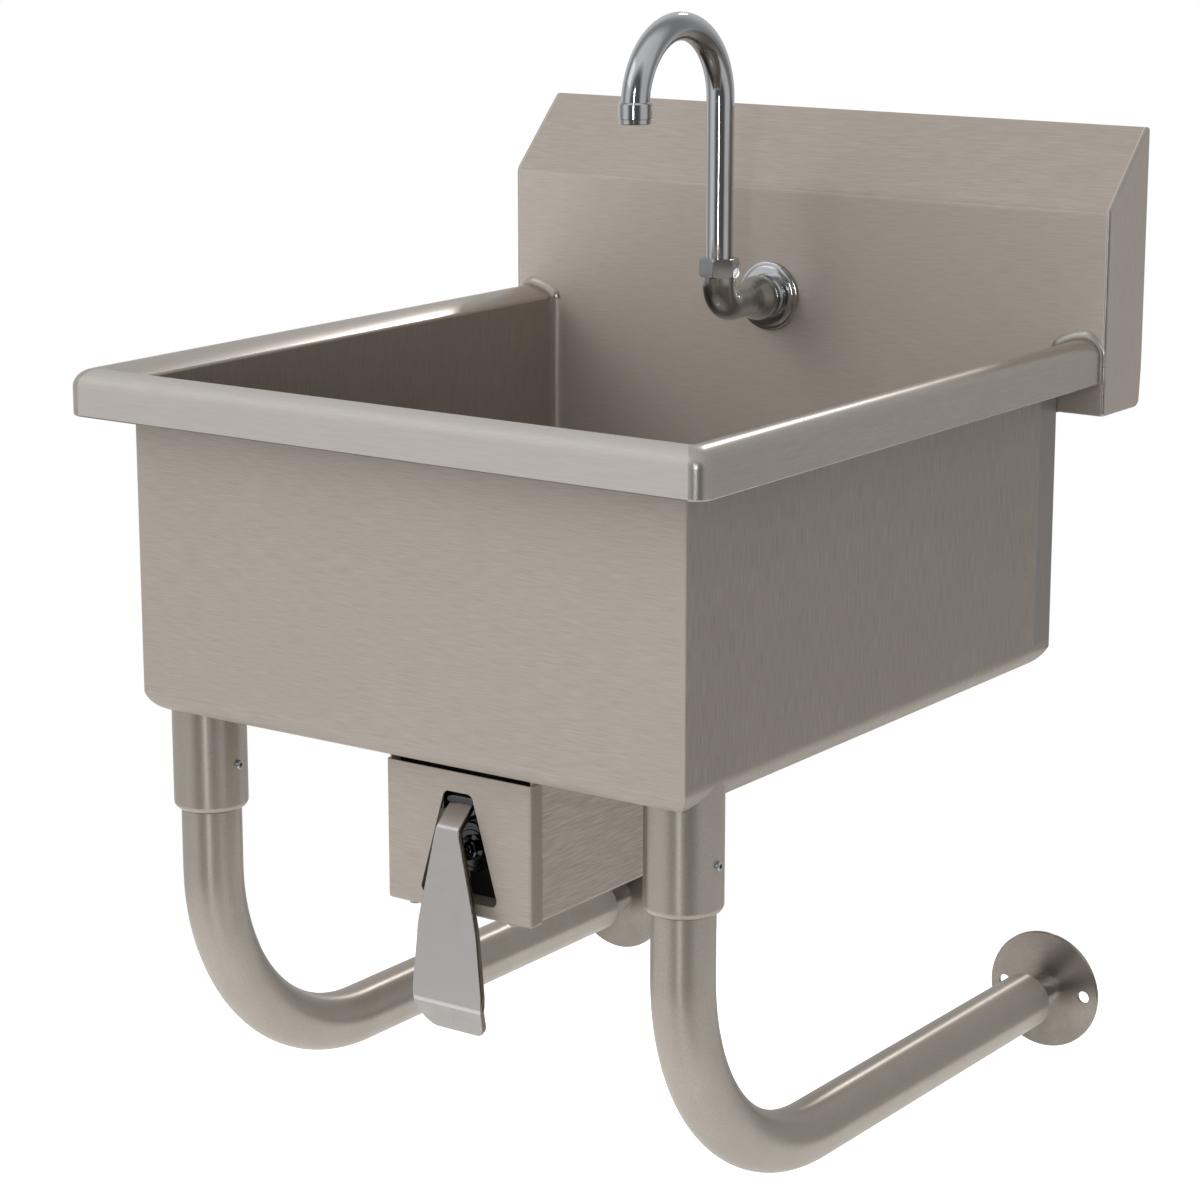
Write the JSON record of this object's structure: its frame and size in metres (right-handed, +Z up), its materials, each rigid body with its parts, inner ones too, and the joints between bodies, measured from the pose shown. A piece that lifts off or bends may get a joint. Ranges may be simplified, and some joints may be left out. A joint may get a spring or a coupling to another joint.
{
  "type": "hand sink",
  "caption": "Wall-hung stainless hand sink with a rolled rim, a sloped backsplash, a swivel gooseneck tap, a knee-operated valve and tubular wall-support legs.",
  "frame": {"origin": "on the wall, in the middle of the sink's width, at the height of the rim's crown", "axes": "+Y into the wall, +X to the right of someone facing the sink, +Z up"},
  "size_m": [0.508, 0.559, 0.769],
  "materials": {
    "brushed_sheet": "brushed stainless sheet with a long fine grain",
    "brushed_tube": "brushed stainless tube",
    "turned_steel": "turned stainless steel with circular marks",
    "polished_steel": "polished stainless steel",
    "polished_chrome": "mirror chrome plate",
    "dark_chrome": "black nickel plate",
    "valve_brass": "raw cast and turned brass",
    "zinc_plate": "bright zinc plate",
    "black_rubber": "matt black rubber",
    "grey_fibre": "matt grey fibre",
    "dark_mesh": "fine dark mesh"
  },
  "bodies": {
    "sink": {"bowl": "brushed_sheet", "rolled_rim": "brushed_sheet", "backsplash": "brushed_sheet", "backsplash_end_left": "brushed_sheet", "backsplash_end_right": "brushed_sheet", "wall_bracket": "zinc_plate", "drain_flange": "polished_steel", "drain_gasket": "black_rubber", "drain_washer": "grey_fibre", "drain_locknut": "polished_steel", "leg_sleeve_left": "brushed_tube", "leg_sleeve_right": "brushed_tube", "leg_tube_left": "brushed_tube", "leg_tube_right": "brushed_tube", "set_screws": "zinc_plate", "leg_end_plug_left": "brushed_tube", "leg_end_plug_right": "brushed_tube", "valve_housing": "brushed_sheet", "valve_cover": "brushed_sheet", "cover_screws": "zinc_plate", "valve_body": "valve_brass", "valve_screws": "zinc_plate", "bonnet_nut": "dark_chrome", "pedal_bracket": "dark_chrome", "hinge_pin": "zinc_plate", "return_spring": "zinc_plate", "hot_inlet": "valve_brass", "cold_inlet": "valve_brass", "supply_tube_lower": "polished_chrome", "supply_tube_upper": "polished_chrome", "tube_nuts": "valve_brass", "escutcheon": "polished_chrome", "tap_body": "polished_chrome", "tap_shank": "valve_brass", "shank_washer": "zinc_plate", "shank_locknut": "valve_brass", "spout_nut": "polished_chrome", "spout_seal": "black_rubber"},
    "spout": {"gooseneck_spout": "polished_chrome", "aerator_shell": "polished_chrome", "aerator_screen": "dark_mesh"},
    "pedal": {"knee_pedal": "polished_chrome"},
    "plunger": {"valve_plunger": "polished_chrome"},
    "strainer": {"strainer_basket": "polished_steel"},
    "foot_left": {"wall_flange_left": "turned_steel"},
    "foot_right": {"wall_flange_right": "turned_steel"}
  },
  "joints": [
    {"name": "spout_swivel", "type": "hinge", "parent": "sink", "child": "spout", "pos_m": [-0.022, -0.1244, 0.03], "axis": [0, 0, 1], "range_deg": [-90, 90]},
    {"name": "pedal_hinge", "type": "hinge", "parent": "sink", "child": "pedal", "pos_m": [0.027, -0.494, -0.263], "axis": [1, 0, 0], "range_deg": [0, 6], "stiffness_Nm_per_rad": 8, "springref_deg": -8.59},
    {"name": "plunger_slide", "type": "slide", "parent": "sink", "child": "plunger", "axis": [0, 1, 0], "range_m": [0, 0.00365], "deforming": ["return_spring"]},
    {"name": "strainer_lift", "type": "slide", "parent": "sink", "child": "strainer", "axis": [0, 0, 1], "range_m": [0, 0.08]},
    {"name": "foot_left_screw", "type": "slide", "parent": "sink", "child": "foot_left", "axis": [0, 1, 0], "range_m": [-0.01, 0.01]},
    {"name": "foot_right_screw", "type": "slide", "parent": "sink", "child": "foot_right", "axis": [0, 1, 0], "range_m": [-0.01, 0.01]}
  ],
  "couplings": [
    {"joint": "plunger_slide", "follows": "pedal_hinge", "m_per_rad": 0.034}
  ]
}
